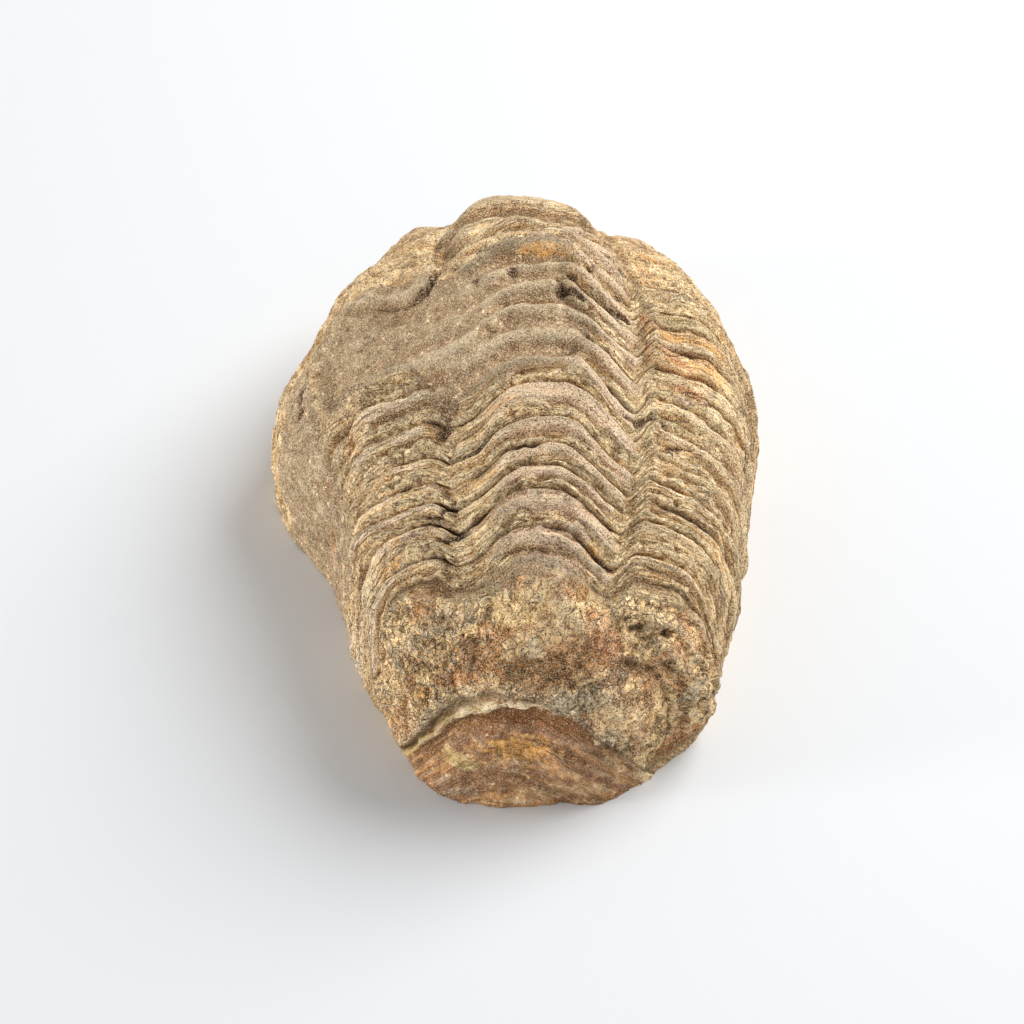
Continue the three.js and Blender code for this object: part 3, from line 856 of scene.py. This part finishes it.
# The colours of what the stone is made of.
tan = medium.ramp(0.38, 0.62).paint(colour(192, 158, 110), colour(232, 204, 158))
tan = broad.ramp(0.4, 0.62).paint(tan, colour(204, 168, 118))
tan = (streaks.ramp(0.54, 0.6) * 0.6).paint(tan, colour(160, 128, 88))
tan = (streaks.ramp(0.47, 0.43) * 0.8).paint(tan, colour(246, 222, 180))
sand = small.ramp(0.35, 0.65).paint(colour(228, 196, 142), colour(255, 236, 194))
shell = (streaks * 0.3 + small * 0.7).ramp(0.4, 0.6).paint(colour(184, 154, 132), colour(216, 188, 162))
matrix = (small * 0.5 + medium * 0.5).ramp(0.36, 0.64).paint(colour(134, 114, 90), colour(174, 152, 124))
crust = medium.ramp(0.42, 0.58).paint(colour(222, 180, 130), colour(252, 228, 186))
crust = broad.ramp(0.5, 0.6, 0, 0.7).paint(crust, colour(206, 156, 110))
crust = flakes.ramp(0.54, 0.57, 0, 0.85).paint(crust, colour(250, 226, 182))
crust = flakes.ramp(0.4, 0.37, 0, 0.7).paint(crust, colour(180, 136, 92))
face = (medium * 0.4 + streaks * 0.6).ramp(0.42, 0.58).paint(colour(146, 108, 80), colour(194, 146, 98))

# One over another, then the stains.
look = over(tan, "sand", sand)
look = over(look, "shell", shell, 0.2, 0.7, 0.5)
look = over(look, "matrix", matrix, 0.4, 0.7, 0.6)
look = over(look, "crust", crust, 0.4, 0.6, 0.5)
look = over(look, "low", colour(194, 152, 110), 0.4, 0.7, 0.5, 0.7)
look = over(look, "heap", sand, 0.4, 0.55, 0.6, 0.85)
look = mask("crust").paint(look, look.tint((1.22, 1.12, 1.0, 1.0)))
look = over(look, "face", face, 0.4, 0.6, 0.3)
look = over(look, "lilac", colour(234, 212, 190), 0.2, 0.8, 0.6, 0.85)
look = over(look, "olive", colour(190, 166, 116), 0.3, 0.6)
look = over(look, "brown", colour(132, 104, 76), 0.3, 0.9, 1.0, 0.8)
look = over(look, "grey", colour(196, 164, 128), 0.42, 0.56, 1.8, 0.7)
look = over(look, "ochre", colour(226, 170, 96), 0.38, 0.62, 1.3, 0.85)
look = over(look, "rust", colour(196, 134, 84), 0.4, 0.6, 1.6, 0.85)
look = over(look, "red", colour(146, 92, 60), 0.42, 0.58, 1.3, 0.85)
look = over(look, "pale", colour(244, 228, 198), 0.45, 0.55, 2.2, 0.85)

# Painted light and shade: loose crumbs lighter in the middle and darker in the chinks between them, a painted
# highlight on what stands proud, painted shade in hollows, pits, cracks and holes; then clouds, veins and
# single grains.
loose = mask("sand") + mask("crust") * 0.7
# Painted shade in the chinks between loose crumbs, and each crumb painted lighter in its middle and darker at
# its edge.
look = (chinks * loose * medium.ramp(0.45, 0.6) * 0.5).paint(look, colour(116, 84, 52))
look = look.tint(1.0 + (crumb - 0.4) * 0.5 * loose)
look = look.tint(1.0 + (broad - 0.5) * 0.8 + (medium - 0.5) * 0.6)
look = look.tint((1.53, 1.42, 1.24, 1.0))
# Painted highlight on what stands proud.
look = (mask("proud") * 0.45).paint(look, colour(255, 234, 196))
# Painted shade in the hollows and pits.
look = (mask("hollow") * (0.75 - 0.45 * mask("matrix"))).paint(look, colour(140, 92, 42))
# Painted shade in the cracks, open joints and holes.
look = mask("gap").ramp(0.15, 0.6, 0, 0.9).paint(look, colour(84, 50, 20))
fine = 1.0 - mask("face") * 0.5 - mask("matrix") * 0.2
look = (veins * 0.7 * fine).paint(look, colour(116, 72, 28))
look = (specks.ramp(0.42, 0.32) * 0.6 * fine).paint(look, colour(128, 84, 38))
look = (grit.ramp(0.45, 0.34) * 0.85 * fine).paint(look, colour(98, 62, 24))
look = (grit.ramp(0.54, 0.65) * 0.75 * fine).paint(look, colour(255, 242, 212))
Wire.tree.links.new(look.socket, shader.inputs["Base Color"])
Wire.tree.links.new(small.ramp(0.3, 0.7, 0.97, 0.82).socket, shader.inputs["Roughness"])
shader.inputs["Specular IOR Level"].default_value = 0.2

height = small * 0.5 + grit * 0.2 + streaks * 0.5 + crumb * loose * 0.4 - chinks * loose * 0.25 - veins * 0.35
BUMP_DEPTH = 0.6 * MM
bump_inputs = {"Strength": 1.0, "Distance": BUMP_DEPTH, "Height": height}
bump = Wire.node("ShaderNodeBump", {}, bump_inputs, "Normal")
Wire.tree.links.new(bump.socket, shader.inputs["Normal"])

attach(stone, "root")
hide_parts("trilobite_fossil")

# ====================================================================================================
# The floor, the light and the camera: plain white paper, one large soft lamp high on the right behind
# the stone, a weak fill low on the left, and an even sky.

floor_mesh = bpy.data.meshes.new("floor")
laying = bmesh.new()
bmesh.ops.create_grid(laying, x_segments=1, y_segments=1, size=3.0)
laying.to_mesh(floor_mesh)
laying.free()
floor = bpy.data.objects.new("floor", floor_mesh)
bpy.context.collection.objects.link(floor)
white = bpy.data.materials.new("white_paper")
white.use_nodes = True
paper = white.node_tree.nodes["Principled BSDF"]
paper.inputs["Base Color"].default_value = (0.85, 0.87, 0.89, 1)
paper.inputs["Roughness"].default_value = 1.0
paper.inputs["Specular IOR Level"].default_value = 0.0
floor_mesh.materials.append(white)

sky = bpy.data.worlds.new("sky")
sky.use_nodes = True
even = sky.node_tree.nodes["Background"]
even.inputs["Color"].default_value = (1, 1, 1, 1)
even.inputs["Strength"].default_value = 0.40
bpy.context.scene.world = sky


def point_at(thing, target):
    """turn a lamp or the camera to the target"""
    aim = target - thing.location
    thing.rotation_euler = aim.to_track_quat("-Z", "Y").to_euler()


STONE_MIDDLE = Vector((0, 0, 0.015))

# The lamps: (name, place, size, power), in metres and watts.
LAMPS = [("window", (0.38, 0.24, 0.48), 0.50, 4.3), ("side_fill", (-0.58, -0.12, 0.06), 0.16, 2.3)]
for name, place, size, power in LAMPS:
    lamp = bpy.data.lights.new(name, "AREA")
    lamp.shape = "DISK"
    lamp.size = size
    lamp.energy = power
    holder = bpy.data.objects.new(name, lamp)
    bpy.context.collection.objects.link(holder)
    holder.location = place
    point_at(holder, STONE_MIDDLE)

ELEVATION = math.radians(50)
DISTANCE = 0.42
VIEW_WIDTH = 0.1178
SENSOR_WIDTH = 36
LOOK_AT = Vector((0.296, -3.486, 8.0)) * MM
eye = bpy.data.cameras.new("camera")
eye.sensor_width = SENSOR_WIDTH
eye.lens = SENSOR_WIDTH * DISTANCE / VIEW_WIDTH
camera = bpy.data.objects.new("camera", eye)
bpy.context.collection.objects.link(camera)
camera.location = LOOK_AT + Vector((0, -math.cos(ELEVATION), math.sin(ELEVATION))) * DISTANCE
point_at(camera, LOOK_AT)
bpy.context.scene.camera = camera
bpy.context.scene.view_settings.view_transform = "Standard"
